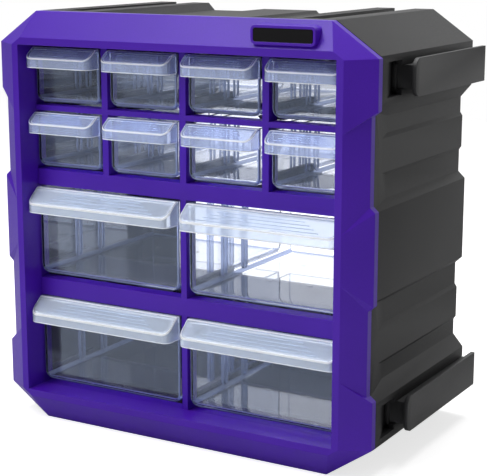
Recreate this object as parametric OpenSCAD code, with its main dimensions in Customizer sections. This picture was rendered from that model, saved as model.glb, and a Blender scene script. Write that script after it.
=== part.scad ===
// Wall or bench cabinet with eight small and four large slide-out bins.
// Millimetres. X runs across the front, -Y is the open front, +Z is up.
// The origin is the centre of the base, halfway through the depth.

/* [Case] */
// Depth from the front rim of the hood to the back of the case
case_d = 153; // [140:1:190]
// Thickness of the case wall
case_wall = 2.2; // [1.8:0.1:3]
// How far the case side sits inside the widest line of the hood
case_inset = 1.1; // [0.6:0.1:1.4]
// Depth of the long grooves down each side
side_groove = 6.9; // [5.6:0.1:7.4]
// Height of the raised middle band on each side
mid_band_h = 52.4; // [40:0.2:58]
// How far the middle band sits inside the widest line of the hood
mid_band_inset = 3.5; // [2.5:0.1:4.2]
// Height of the raised pad in each side groove
groove_pad_h = 19.8; // [10:0.2:24]
// Height of the middle of that pad above mid-height
groove_pad_z = 56.6; // [54:0.2:58]
// Rise of that pad above the groove
groove_pad_t = 1.5; // [0.6:0.1:2.4]
// Depth of the groove along the top
top_groove = 4.9; // [3:0.1:5.4]
// Half width of the low pad in the middle of the top and base
top_pad_x = 20; // [12:1:40]
// How far the top pad sits below the top
top_pad_drop = 3.1; // [0.5:0.1:4]
// Distance from the centre line to the inner edge of each top rail
top_rail_x = 64.4; // [58:0.2:66]
// Width of each top rail
top_rail_w = 39.6; // [34:0.2:42]
// Height of each side rail
side_rail_h = 27.8; // [26:0.1:30]
// Length of the ramp that runs each groove out behind the hood
groove_runout = 25; // [10:1:40]
// How far those ramps start inside the hood's edge
runout_inset = 0.5; // [0.2:0.1:1]
// Width of the opening in the back
window_w = 168; // [120:2:176]
// Height of the opening in the back
window_h = 159; // [100:1:160]
// Height of the lower edge of that opening
window_z = 57; // [40:1:58]
// Corner radius of that opening
window_r = 6; // [2:1:20]
// Width of the cut upper corners of that opening
window_cut = 36; // [22:1:44]
// Spacing of the two wall-mounting keyholes
keyhole_pitch = 160; // [100:5:180]
// Height of the keyholes' round mouths
keyhole_z = 222; // [221:1:236]
// Radius of the keyholes' round mouths
keyhole_r = 4.5; // [3.5:0.1:5.5]
// Radius of the keyholes' slots
keyhole_slot_r = 2.2; // [1.5:0.1:2.8]
// Rise of the keyholes' slots above their mouths
keyhole_rise = 9; // [7:0.5:12]

/* [Hood] */
// Width of the flat rim round the front opening
rim_w = 4.5; // [3:0.1:6]
// Width of the hood from its opening to its widest line
hood_side_w = 21.25; // [20.8:0.05:22]
// Height of the hood below the lowest bay
sill_h = 20; // [18:0.1:22]
// Height of the hood above the highest bay
head_h = 20.7; // [19.5:0.1:22]
// Depth of the sloping faces
bevel_d = 10; // [6:0.5:12]
// Depth of the hood's side
hood_d = 15; // [13:0.5:18]
// How far the bay grid lies behind the front rim
grid_recess = 17; // [16:0.5:22]
// Width of the cut corners
corner_x = 29; // [25:0.5:32]
// Height of the cut corners
corner_z = 20; // [18:0.5:22]
// Height of the cut at the corners of the flat rim
rim_cut = 4.5; // [2:0.5:6]
// Wall of the hood
hood_wall = 2.4; // [1.8:0.1:3]
// Lining wall round the opening
lining_t = 2; // [1.6:0.1:3]
// How far the lining stands inside the bays
lining_step = 1.3; // [0.6:0.1:1.4]
// Depth of the waists in the hood's side edges
waist = 3.9; // [2:0.1:5]
// Half height from mid-height to the waist's inner end
waist_z0 = 27.2; // [24:0.1:30]
// Half height from mid-height to the waist's outer end
waist_z1 = 84.2; // [78:0.1:88]
// Height over which a waist starts and ends
waist_slope = 3; // [1:0.1:5]
// How far the hood's middle band sits inside its widest line
mid_lip_inset = 0.6; // [0.2:0.1:2]
// Length of the creases from the waists to the rim
crease_run = 12.6; // [4:0.2:14]

/* [Name plate] */
// Width of the plate
plate_w = 38; // [20:1:60]
// Height of the plate
plate_h = 7.6; // [5:0.1:8]
// Corner radius of the plate
plate_r = 1.2; // [0.5:0.1:2]
// Distance of the plate from the centre line
plate_x = 78.1; // [40:0.1:78.5]
// Height of the plate's middle above the highest bay
plate_z = 12.2; // [11.5:0.1:12.8]
// Border of the raised seat round the plate
plate_border = 1.85; // [1:0.05:2.4]
// How far the seat stands in front of the rim
plate_proud = 1; // [0.5:0.1:2]
// Thickness of the plate
plate_t = 1.2; // [0.8:0.1:1.6]

/* [Bays] */
// Width of a small bay
small_bay_w = 52.9; // [50:0.1:56]
// Height of the bays in the highest row
row1_h = 39.3; // [38.4:0.1:42]
// Height of the bays in the second row
row2_h = 38.1; // [38:0.1:42]
// Height of the bays in the third row
row3_h = 62; // [61.2:0.1:66]
// Height of the bays in the lowest row
row4_h = 61.4; // [61.2:0.1:66]
// Bar between the first and second rows
bar12_h = 3.4; // [3:0.1:8]
// Bar between the second and third rows
bar23_h = 10.4; // [6:0.1:14]
// Bar between the third and fourth rows
bar34_h = 11.4; // [6:0.1:14]
// Width of the posts between small bays
post_w = 4.5; // [3:0.1:6]
// Width of the post between large bays
large_post_w = 4; // [3:0.1:6]
// Depth of the bars and posts
grid_d = 10; // [6:0.5:14]

/* [Runners] */
// Width of the flange that a bin slides on
flange_w = 5; // [3:0.1:7]
// Height of a small bin's runner above its bar
small_rise = 1.9; // [1.2:0.1:2.6]
// Height of a large bin's runner above its bar
large_rise = 3.1; // [1.6:0.1:3.4]
// Thickness of the flanges
flange_t = 1.8; // [1.2:0.1:2.4]
// How far the flanges end in front of the bins' backs
flange_short = 2; // [1:0.5:20]
// Height of the blades between bins above the bar
blade_h = 9.5; // [6:0.5:14]
// Thickness of the blades beside the case wall
side_blade_t = 2; // [1.5:0.1:3]
// Distance of the stop bar's back from the front rim
stop_y = 74; // [60:0.5:80]
// Depth of the stop bar
stop_d = 4; // [3:0.5:6]
// Width of a stop tab over a small bin
small_tab_w = 14; // [8:0.5:20]
// Width of a stop tab over a large bin
large_tab_w = 28; // [12:0.5:40]
// How far a stop tab reaches below a bin's rim
tab_reach = 3; // [2:0.1:4]
// Height of the sloping ends of the stop tabs
tab_slope = 3; // [1:0.1:4]

/* [Bins] */
// Width of a small bin
small_bin_w = 49.5; // [46:0.1:50]
// Height of a small bin
small_bin_h = 34.8; // [32:0.1:35]
// Width of a large bin
large_bin_w = 107.4; // [104:0.1:107.5]
// Height of a large bin
large_bin_h = 57.4; // [52:0.1:57.6]
// Distance of a bin's back from the front rim
bin_back = 148; // [125:0.5:149]
// Wall of a bin
bin_wall = 1.8; // [1.2:0.1:2.4]
// Radius along a bin's lower edges
bin_r = 5.5; // [3:0.1:7]
// How far the divider ribs stand in from a bin's sides
rib_d = 2; // [0.6:0.1:2.4]
// Thickness of a divider rib
rib_t = 1.4; // [0.8:0.1:2]
// Gap between the two ribs of a divider slot
rib_gap = 3; // [1.4:0.1:4]
// Distance of the first divider slot from the front rim
rib_y = 53; // [40:1:60]
// Spacing of the divider slots
rib_pitch = 25.5; // [14:0.5:30]
// Distance of the divider ribs' tops below a bin's rim
rib_head = 5; // [4:0.5:10]
// Number of divider slots
rib_count = 2; // [1:1:3]

/* [Grips] */
// Distance of a small grip's front from the front rim
small_grip_y = 5; // [3:0.5:8]
// Drop of a small grip's slope
small_grip_drop = 6.5; // [4:0.1:8]
// Distance of a large grip's front from the front rim
large_grip_y = 3; // [2:0.5:8]
// Drop of a large grip's slope
large_grip_drop = 9.3; // [5:0.1:12]
// Height of the upright lip of a grip
grip_lip = 4.5; // [3:0.1:7]
// Flat at the top of a grip in front of its bin
grip_flat = 2.5; // [1:0.1:4]
// Plan radius of a small grip's corners
small_grip_r = 5; // [2:0.5:7]
// Plan radius of a large grip's corners
large_grip_r = 5; // [2:0.5:10]
// Height of the ridges on a grip
ridge_t = 0.5; // [0.3:0.1:0.8]
// Width of a ridge
ridge_w = 0.9; // [0.6:0.1:1.4]
// Distance of the lowest ridge from the crease of the grip
ridge_first = 3.4; // [2:0.1:5]
// Spacing of the ridges on a small grip
small_ridge_pitch = 2; // [1.6:0.1:2.4]
// Spacing of the ridges on a large grip
large_ridge_pitch = 2.5; // [1.6:0.1:3]
// Distance of a small grip's lowest ridge from the grip's ends
small_ridge_end = 7; // [5:0.5:12]
// Distance of a large grip's lowest ridge from the grip's ends
large_ridge_end = 12.3; // [8:0.1:30]
// How much shorter each next ridge on a small grip is at either end
small_ridge_taper = 2; // [0:0.1:3]
// How much shorter each next ridge on a large grip is at either end
large_ridge_taper = 3.9; // [0:0.1:5]
// Number of ridges on a grip
ridge_count = 4; // [2:1:4]

/* [Joining clips] */
// Height of a clip's plates
clip_h = 22; // [18:0.1:23]
// Thickness of a clip's plates
clip_t = 2.5; // [2:0.1:3]
// Distance of a clip's front from the front rim
clip_y = 44; // [40:1:60]
// Corner radius of a clip's front end
clip_r = 5.5; // [2:0.5:8]
// Width of the mouth of a clip channel
mouth_w = 14.3; // [10:0.1:16]
// Thickness of the lips beside the mouth
channel_lip = 3.6; // [3:0.1:4]
// Length of the ramp that leads into a channel
channel_lead = 20; // [8:1:22]
// Width of the ramps that lead into the side channels
side_lead_w = 20; // [10:0.5:22]

/* [Fits] */
// Gap between a bin and the runner under it
run_gap = 0.3; // [0.2:0.05:0.5]
// Gap between fixed pieces that slide together once
fit_gap = 0.3; // [0.15:0.05:0.4]
// Gap round the name plate
plate_gap = 0.1; // [0.05:0.05:0.3]

/* [Hidden] */
$fn = 48;
eps = 0.01;
least_r = 0.5;
least_step = 0.2;

// Bays: their outer lines, and the heights of the rows from the base up.
bays_w = 4 * small_bay_w + 3 * post_w;
large_bay_w = (bays_w - large_post_w) / 2;
row4_z = sill_h;
bar34_z = row4_z + row4_h;
row3_z = bar34_z + bar34_h;
bar23_z = row3_z + row3_h;
row2_z = bar23_z + bar23_h;
bar12_z = row2_z + row2_h;
row1_z = bar12_z + bar12_h;
head_z = row1_z + row1_h;
case_h = head_z + head_h;
mid_z = case_h / 2;
small_bay_x = [for (i = [0 : 3]) (i - 1.5) * (small_bay_w + post_w)];
large_bay_x = [for (side = [-1, 1]) side * (large_bay_w + large_post_w) / 2];
small_seat = small_rise + run_gap;
large_seat = large_rise + run_gap;
small_post_x = [for (i = [-1 : 1]) i * (small_bay_w + post_w)];

// Hood: half widths of its opening, of its flat rim and of its widest line.
open_x = bays_w / 2 - lining_step;
rim_x = open_x + rim_w;
hood_x = open_x + hood_side_w;
crease_tip = 0.3;
corner_angle = atan(corner_z / corner_x);

// Case: outer lines and the hollow inside.
shell_x = hood_x - case_inset;
groove_x = shell_x - side_groove;
mid_band_x = hood_x - mid_band_inset;
top_rail_out = top_rail_x + top_rail_w;
shell_corner_z = corner_z * (shell_x - top_rail_out) / corner_x;
rail_lo = mid_z - shell_corner_z - side_rail_h;
rail_slope = 8;
pad_slope = 2.3;
band_slope = 4.2;
runout_step = 2;
past = 1;
channel_t = clip_t + 2 * fit_gap;
channel_floor = channel_lip + channel_t;
cavity_x = groove_x - case_wall;
cavity_drop = channel_floor + case_wall;
cavity_cut_angle = atan(shell_corner_z / (shell_x - top_rail_out));
cavity_line = top_rail_out * sin(cavity_cut_angle) + case_h * cos(cavity_cut_angle)
    - case_wall;
cavity_cut_x = cavity_x
    - (cavity_line - (case_h - cavity_drop) * cos(cavity_cut_angle)) / sin(cavity_cut_angle);
cavity_cut_z = case_h - cavity_drop
    - (cavity_line - cavity_x * sin(cavity_cut_angle)) / cos(cavity_cut_angle);
back_y = case_d - case_wall;

// Clip channels: the middle of each side rail and of each top rail.
side_channel_z = rail_lo + side_rail_h / 2;
top_channel_x = top_rail_x + top_rail_w / 2;
channel_w = clip_h + 2 * fit_gap;
channel_y = clip_y - fit_gap;

// Clips: both plates clear a lip of their own thickness on either cabinet.
clip_outer_x = 2 * hood_x - (shell_x - channel_floor + fit_gap);
neck_setback = 3;

// Gap between the highest bay and the stop bar over it.
roof_gap = 1;

function mirrored(points) = concat(points,
    [for (i = [len(points) - 1 : -1 : 0]) [-points[i].x, points[i].y]]);

function flipped(points) = [for (i = [len(points) - 1 : -1 : 0]) [points[i].x, -points[i].y]];

// Upper right quarter of the case outline, with heights from mid-height.
function case_quarter(pad_drop) = [
    [top_pad_x, mid_z - pad_drop],
    [top_pad_x + max(top_groove - pad_drop, least_step), mid_z - top_groove],
    [top_rail_x - top_groove, mid_z - top_groove],
    [top_rail_x, mid_z],
    [top_rail_out, mid_z],
    [shell_x, mid_z - shell_corner_z],
    [shell_x, rail_lo],
    [groove_x, rail_lo - rail_slope],
    [groove_x, groove_pad_z + groove_pad_h / 2 + pad_slope],
    [groove_x + groove_pad_t, groove_pad_z + groove_pad_h / 2],
    [groove_x + groove_pad_t, groove_pad_z - groove_pad_h / 2],
    [groove_x, groove_pad_z - groove_pad_h / 2 - pad_slope],
    [groove_x, mid_band_h / 2 + band_slope],
    [mid_band_x, mid_band_h / 2]];

function case_outline() = mirrored(concat(case_quarter(top_pad_drop), flipped(case_quarter(0))));

// Hollow of the case, drawn in by a gap for what slides into it.
function cavity_quarter(gap) = [
    [cavity_x - gap - cavity_cut_x, mid_z - cavity_drop - gap],
    [cavity_x - gap, mid_z - cavity_drop - cavity_cut_z - gap]];

function cavity_outline(gap) =
    mirrored(concat(cavity_quarter(gap), flipped(cavity_quarter(gap))));

// Flat rim of the hood: straight sides with the crease tips marked on them.
function rim_quarter() = [
    [rim_x - rim_cut * corner_x / corner_z, head_z - mid_z + rim_w],
    [rim_x, head_z - mid_z + rim_w - rim_cut],
    [rim_x, waist_z1 - crease_run + crease_tip],
    [rim_x, waist_z1 - crease_run - crease_tip],
    [rim_x, waist_z0 - crease_run + crease_tip],
    [rim_x, waist_z0 - crease_run - crease_tip]];

// Widest line of the hood, drawn in by a wall for its inner face.
function lip_quarter(wall) = [
    [hood_x - corner_x - wall * tan(corner_angle / 2), mid_z - wall],
    [hood_x - wall, mid_z - corner_z - wall * tan(45 - corner_angle / 2)],
    [hood_x - wall, waist_z1],
    [hood_x - waist - wall, waist_z1 - waist_slope],
    [hood_x - waist - wall, waist_z0 + waist_slope],
    [hood_x - mid_lip_inset - wall, waist_z0]];

function rim_outline() = mirrored(concat(rim_quarter(), flipped(rim_quarter())));

function lip_outline(wall) = mirrored(concat(lip_quarter(wall), flipped(lip_quarter(wall))));

// Edge of an opening with square corners, matched point for point to the rim.
function opening_quarter(grow) = [
    [open_x + grow, head_z - mid_z + grow],
    [open_x + grow, head_z - mid_z - rim_cut],
    for (p = [2 : 5]) [open_x + grow, rim_quarter()[p].y]];

function opening_outline(grow) =
    mirrored(concat(opening_quarter(grow), flipped(opening_quarter(grow))));

// Ring-shaped solid: its surface runs from each outline to the next, each at its
// own depth, and from the last back to the first.
module ring_solid(outlines, depths) {
    n = len(outlines[0]);
    m = len(outlines);
    points = [for (k = [0 : m - 1], p = outlines[k]) [p.x, depths[k], p.y + mid_z]];
    faces = [for (k = [0 : m - 1], i = [0 : n - 1], half = [0, 1])
        let (j = (i + 1) % n, a = k * n, b = ((k + 1) % m) * n)
        half == 0 ? [a + i, b + i, b + j] : [a + i, b + j, a + j]];
    polyhedron(points, faces);
}

// Prism along Y of an outline whose heights are from mid-height.
module along_y(outline, y0, y1) {
    translate([0, y1, mid_z]) rotate([90, 0, 0]) linear_extrude(y1 - y0) polygon(outline);
}

// Box given by its low and high corners.
module block(low, high) {
    translate(low) cube(high - low);
}

// Rectangle with round corners, centred, in the XY plane.
module round_rect(w, h, r) {
    square([w - 2 * r, h], center = true);
    square([w, h - 2 * r], center = true);
    for (x = [-1, 1], y = [-1, 1]) translate([x * (w / 2 - r), y * (h / 2 - r)]) circle(r);
}

// Everything is drawn with y from the front rim; this sets it over the origin.
module in_place() {
    translate([0, -case_d / 2, 0]) children();
}

// Wedge that runs a side groove out to the case's front edge.
module side_runout() {
    lift = hood_x - waist - runout_inset - groove_x;
    low = mid_band_h / 2 + band_slope / 2;
    high = rail_lo - rail_slope / 2;
    for (side = [-1, 1], level = [-1, 1])
        in_quarter(side, level) translate([0, 0, low]) linear_extrude(high - low) polygon([
            [groove_x - eps, hood_d],
            [groove_x + lift, hood_d],
            [groove_x + lift, hood_d + runout_step],
            [groove_x - eps, hood_d + groove_runout]]);
}

// Wedge that runs the top groove out to the case's front edge.
module top_runout() {
    for (level = [-1, 1]) translate([0, 0, mid_z]) mirror([0, 0, level < 0 ? 1 : 0])
        translate([-top_rail_x + top_groove / 2, 0, 0]) rotate([90, 0, 90])
            linear_extrude(2 * top_rail_x - top_groove) polygon([
                [hood_d, mid_z - top_groove - eps],
                [hood_d, mid_z - runout_inset],
                [hood_d + runout_step, mid_z - runout_inset],
                [hood_d + groove_runout, mid_z - top_groove - eps]]);
}

// Copies a shape drawn at upper right into one of the four quarters.
module in_quarter(side, level) {
    translate([0, 0, mid_z]) mirror([side < 0 ? 1 : 0, 0, 0])
        mirror([0, 0, level < 0 ? 1 : 0]) children();
}

// Channel for a clip, cut into a rail whose face is at height 0 of the local frame.
// Local X runs across the mouth, Y runs back and Z points out of the case.
module clip_channel(lead_w) {
    block([-mouth_w / 2, channel_y, -channel_floor], [mouth_w / 2, case_d + past, past]);
    block([-channel_w / 2, channel_y, -channel_floor],
          [channel_w / 2, case_d + past, -channel_lip]);
    translate([-lead_w / 2, 0, 0]) rotate([90, 0, 90]) linear_extrude(lead_w) polygon([
        [channel_y - channel_lead, 0],
        [channel_y - channel_lead, past],
        [channel_y + eps, past],
        [channel_y + eps, -channel_floor]]);
}

module all_channels() {
    for (side = [-1, 1], level = [-1, 1]) {
        in_quarter(side, level) translate([shell_x, 0, side_channel_z]) rotate([0, 90, 0])
            clip_channel(side_lead_w);
        in_quarter(side, level) translate([top_channel_x, 0, mid_z]) clip_channel(mouth_w);
    }
}

module keyholes() {
    depth = case_wall + 2 * past;
    for (side = [-1, 1]) translate([side * keyhole_pitch / 2, case_d + past, keyhole_z])
        rotate([90, 0, 0]) {
            cylinder(h = depth, r = keyhole_r);
            translate([-keyhole_slot_r, 0, 0]) cube([2 * keyhole_slot_r, keyhole_rise, depth]);
            translate([0, keyhole_rise, 0]) cylinder(h = depth, r = keyhole_slot_r);
        }
}

// Opening in the back: round below, its upper corners cut.
module back_window() {
    depth = case_wall + 2 * past;
    translate([0, case_d + past, window_z + window_h / 2]) rotate([90, 0, 0]) intersection() {
        linear_extrude(depth) round_rect(window_w, window_h, window_r);
        translate([0, 0, -past]) linear_extrude(depth + 2 * past) polygon(mirrored([
            [window_w / 2 - window_cut - past, window_h / 2 + past],
            [window_w / 2 + past, window_h / 2 - window_cut - past],
            [window_w / 2 + past, -window_h / 2 - past]]));
    }
}

// Black outer case: a sleeve with a back, grooves down its sides and clip channels.
module case_shell() color("#2f2f32") in_place() difference() {
    union() {
        along_y(case_outline(), hood_d, case_d);
        side_runout();
        top_runout();
    }
    along_y(cavity_outline(0), hood_d - past, back_y);
    band_relief = mid_band_x - case_wall - cavity_x;
    for (side = [-1, 1]) in_quarter(side, 1)
        block([cavity_x - eps, hood_d - past, -mid_band_h / 2 + case_wall],
              [cavity_x + band_relief, back_y, mid_band_h / 2 - case_wall]);
    all_channels();
    keyholes();
    back_window();
}

// Block that carries the name plate, with a pocket for it.
module plate_seat() {
    translate([plate_x, bevel_d, head_z + plate_z]) rotate([90, 0, 0])
        linear_extrude(bevel_d + plate_proud)
            round_rect(plate_w + 2 * plate_border, plate_h + 2 * plate_border, plate_r + plate_border);
}

module plate_pocket() {
    translate([plate_x, -plate_proud + plate_t + plate_gap, head_z + plate_z]) rotate([90, 0, 0])
        linear_extrude(plate_t + 2 * past)
            round_rect(plate_w + 2 * plate_gap, plate_h + 2 * plate_gap, plate_r + plate_gap);
}

// Purple hood round the front: flat rim, sloping faces and a lining to the bays.
module front_hood() color("#5224b4") in_place() {
    face_y = hood_wall * sqrt(1 + pow(bevel_d / (hood_x - rim_x), 2));
    difference() {
        union() {
            ring_solid(
                [opening_outline(0), rim_outline(), lip_outline(0), lip_outline(0),
                 lip_outline(hood_wall), lip_outline(hood_wall), rim_outline(),
                 opening_outline(lining_t), opening_outline(lining_t), opening_outline(0)],
                [0, 0, bevel_d, hood_d, hood_d, bevel_d + face_y, face_y, face_y,
                 grid_recess, grid_recess]);
            plate_seat();
        }
        plate_pocket();
    }
}

// Purple grid of bars and posts that frames the bays.
module bay_grid() color("#4a1fa6") in_place() {
    y0 = grid_recess;
    y1 = grid_recess + grid_d;
    difference() {
        along_y(cavity_outline(fit_gap), y0, y1);
        bay_cut(small_bay_x, small_bay_w, row1_z, row1_h);
        bay_cut(small_bay_x, small_bay_w, row2_z, row2_h);
        bay_cut(large_bay_x, large_bay_w, row3_z, row3_h);
        bay_cut(large_bay_x, large_bay_w, row4_z, row4_h);
    }
}

module bay_cut(middles, w, z, h) {
    for (x = middles)
        block([x - w / 2, grid_recess - past, z], [x + w / 2, grid_recess + grid_d + past, z + h]);
}

module name_plate() color("#141216") in_place()
    translate([plate_x, -plate_proud + plate_t, head_z + plate_z]) rotate([90, 0, 0])
        linear_extrude(plate_t) round_rect(plate_w, plate_h, plate_r);

// Cross bar with a tapered tab over each bin of the row below.
module stop_bar(low, high, middles, tab_w, rim_z) {
    block([-cavity_x, stop_y - stop_d, low], [cavity_x, stop_y, high]);
    tip = rim_z - tab_reach;
    for (x = middles) translate([x, stop_y, 0]) rotate([90, 0, 0]) linear_extrude(stop_d) polygon([
        [-tab_w / 2, low + eps],
        [tab_w / 2, low + eps],
        [tab_w / 2, tip + tab_slope],
        [tab_w / 2 - tab_slope, tip],
        [-tab_w / 2 + tab_slope, tip],
        [-tab_w / 2, tip + tab_slope]]);
}

// Flanges and blades that carry one row of bins; the flange tops are at seat_z.
module runner_rails(seat_z, bar_top, posts, blade_w) {
    y0 = grid_recess + grid_d;
    y1 = bin_back - flange_short;
    low = seat_z - flange_t;
    for (x = posts) {
        block([x - blade_w / 2 - flange_w, y0, low], [x + blade_w / 2 + flange_w, y1, seat_z]);
        block([x - blade_w / 2, y0, low], [x + blade_w / 2, stop_y, bar_top + blade_h]);
    }
    for (side = [0, 1]) mirror([side, 0, 0]) {
        block([bays_w / 2 - flange_w, y0, low], [cavity_x, y1, seat_z]);
        block([bays_w / 2, y0, low], [bays_w / 2 + side_blade_t, stop_y, bar_top + blade_h]);
    }
}

module roof_stops() color("#2a2450") in_place() intersection() {
    stop_bar(head_z + roof_gap, case_h - cavity_drop, small_bay_x, small_tab_w,
             row1_z + small_seat + small_bin_h);
    along_y(cavity_outline(0), stop_y - stop_d, stop_y);
}

module runner_row1() color("#2a2450") in_place() {
    runner_rails(row1_z + small_rise, row1_z, small_post_x, post_w);
    stop_bar(bar12_z, row1_z + small_rise, small_bay_x, small_tab_w,
             row2_z + small_seat + small_bin_h);
}

module runner_row2() color("#2a2450") in_place() {
    runner_rails(row2_z + small_rise, row2_z, small_post_x, post_w);
    stop_bar(bar23_z, row2_z + small_rise, large_bay_x, large_tab_w,
             row3_z + large_seat + large_bin_h);
}

module runner_row3() color("#2a2450") in_place() {
    runner_rails(row3_z + large_rise, row3_z, [0], large_post_w);
    stop_bar(bar34_z, row3_z + large_rise, large_bay_x, large_tab_w,
             row4_z + large_seat + large_bin_h);
}

// The lowest runners stand on ribs on the floor of the case.
module runner_row4() color("#2a2450") in_place() {
    runner_rails(row4_z + large_rise, row4_z, [0], large_post_w);
    y0 = grid_recess + grid_d;
    intersection() {
        union() {
            for (x = [0, -bays_w / 2, bays_w / 2])
                block([x - large_post_w / 2, y0, 0],
                      [x + large_post_w / 2, back_y, row4_z + large_rise - flange_t + eps]);
            block([-cavity_x, stop_y - stop_d, 0], [cavity_x, stop_y, row4_z + large_rise]);
        }
        along_y(cavity_outline(0), y0, back_y);
    }
}

// Upright outline of a bin: square above, round along its lower edges.
module bin_section(w, h, r) {
    translate([-w / 2, r]) square([w, h - r]);
    translate([-w / 2 + r, 0]) square([w - 2 * r, r + eps]);
    for (side = [-1, 1]) translate([side * (w / 2 - r), r]) circle(r);
}

// Tray of a bin, from its front wall at the grid to its back.
module tray(w, h) {
    inner_r = bin_r - bin_wall;
    length = bin_back - grid_recess;
    difference() {
        translate([0, bin_back, 0]) rotate([90, 0, 0]) linear_extrude(length)
            bin_section(w, h, bin_r);
        translate([0, bin_back - bin_wall, bin_wall]) rotate([90, 0, 0])
            linear_extrude(length - 2 * bin_wall)
                bin_section(w - 2 * bin_wall, h, inner_r);
    }
}

// Ribs on both sides of a tray that hold a divider.
module divider_ribs(w, h) {
    wall_x = w / 2 - bin_wall;
    for (i = [0 : rib_count - 1], edge = [0, 1], side = [-1, 1])
        mirror([side < 0 ? 1 : 0, 0, 0])
            block([wall_x - rib_d, rib_y + i * rib_pitch + edge * (rib_t + rib_gap), bin_r],
                  [wall_x + eps, rib_y + i * rib_pitch + edge * (rib_t + rib_gap) + rib_t,
                   h - rib_head]);
}

// Plan of a grip: round front corners, straight where it meets the bin.
module grip_plan(w, front, r, back) {
    depth = back - front;
    translate([-w / 2 + r, front]) square([w - 2 * r, depth]);
    translate([-w / 2, front + r]) square([w, depth - r]);
    for (side = [-1, 1]) translate([side * (w / 2 - r), front + r]) circle(r);
}

// Section of a grip from the side: y back from the rim, z from the bin's rim.
function grip_section(front, drop, wall, below) =
    let (slope = grip_angle(front, drop)) [
        [grid_recess + bin_wall / 2, -wall],
        [grid_recess - grip_flat + wall * tan(slope / 2), -wall],
        [front + wall, -drop - wall * tan(45 - slope / 2)],
        [front + wall, -drop - grip_lip - below],
        [grid_recess + bin_wall / 2, -drop - grip_lip - below]];

function grip_angle(front, drop) = atan(drop / (grid_recess - grip_flat - front));

module grip_solid(w, front, drop, r, wall, below) {
    back = grid_recess + (wall > 0 ? 0 : bin_wall / 2);
    intersection() {
        translate([-w / 2 - past, 0, 0]) rotate([90, 0, 90]) linear_extrude(w + 2 * past)
            polygon(grip_section(front, drop, wall, below));
        translate([0, 0, -drop - grip_lip - below - past])
            linear_extrude(drop + grip_lip + below + 2 * past)
                grip_plan(w - 2 * wall, front + wall, max(r - wall, least_r), back);
    }
}

// Ridges across the slope of a grip, longest near its crease.
module grip_ridges(w, front, drop, pitch, end, taper) {
    translate([0, front, -drop]) rotate([grip_angle(front, drop), 0, 0])
        for (i = [0 : ridge_count - 1]) {
            half = w / 2 - end - i * taper;
            y = ridge_first + i * pitch;
            block([-half, y - ridge_w / 2, -bin_wall / 2], [half, y + ridge_w / 2, ridge_t]);
        }
}

// One bin: a clear tray with a hollow grip across its front.
module bin(w, h, front, drop, r, pitch, end, taper) color("#a9bfd0b0") {
    tray(w, h);
    divider_ribs(w, h);
    translate([0, 0, h]) {
        difference() {
            grip_solid(w, front, drop, r, 0, 0);
            grip_solid(w, front, drop, r, bin_wall, past);
        }
        grip_ridges(w, front, drop, pitch, end, taper);
    }
}

module small_bin(row, column) in_place()
    translate([small_bay_x[column - 1], 0, (row == 1 ? row1_z : row2_z) + small_seat])
        bin(small_bin_w, small_bin_h, small_grip_y, small_grip_drop, small_grip_r,
            small_ridge_pitch, small_ridge_end, small_ridge_taper);

module large_bin(row, column) in_place()
    translate([large_bay_x[column - 1], 0, (row == 3 ? row3_z : row4_z) + large_seat])
        bin(large_bin_w, large_bin_h, large_grip_y, large_grip_drop, large_grip_r,
            large_ridge_pitch, large_ridge_end, large_ridge_taper);

// Plate of a clip, seen from the side, with its front corners rounded.
module clip_plate(t) {
    length = case_d - clip_y;
    translate([0, clip_y, 0]) rotate([90, 0, 90]) linear_extrude(t) {
        translate([clip_r, -clip_h / 2]) square([length - clip_r, clip_h]);
        translate([0, -clip_h / 2 + clip_r]) square([clip_r + eps, clip_h - 2 * clip_r]);
        for (level = [-1, 1]) translate([clip_r, level * (clip_h / 2 - clip_r)]) circle(clip_r);
    }
}

// Double-T clip that joins this cabinet to the next one: one plate is held in the
// channel of the right side, the other stands clear for the neighbour's channel.
module joining_clip(level) color("#3a3a3e") in_place()
    translate([0, 0, mid_z + level * side_channel_z]) {
        inner = shell_x - channel_floor + fit_gap;
        neck = mouth_w - 2 * fit_gap;
        translate([inner, 0, 0]) clip_plate(clip_t);
        translate([clip_outer_x - clip_t, 0, 0]) clip_plate(clip_t);
        block([inner + clip_t - eps, clip_y + neck_setback, -neck / 2],
              [clip_outer_x - clip_t + eps, case_d, neck / 2]);
    }

case_shell();
front_hood();
bay_grid();
name_plate();
roof_stops();
runner_row1();
runner_row2();
runner_row3();
runner_row4();
small_bin(1, 1);  // bin_r1c1
small_bin(1, 2);  // bin_r1c2
small_bin(1, 3);  // bin_r1c3
small_bin(1, 4);  // bin_r1c4
small_bin(2, 1);  // bin_r2c1
small_bin(2, 2);  // bin_r2c2
small_bin(2, 3);  // bin_r2c3
small_bin(2, 4);  // bin_r2c4
large_bin(3, 1);  // bin_r3c1
large_bin(3, 2);  // bin_r3c2
large_bin(4, 1);  // bin_r4c1
large_bin(4, 2);  // bin_r4c2
joining_clip(1);  // joining_clip_upper
joining_clip(-1);  // joining_clip_lower
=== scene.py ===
import math

import bmesh
import bpy
from mathutils import Matrix, Vector


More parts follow.
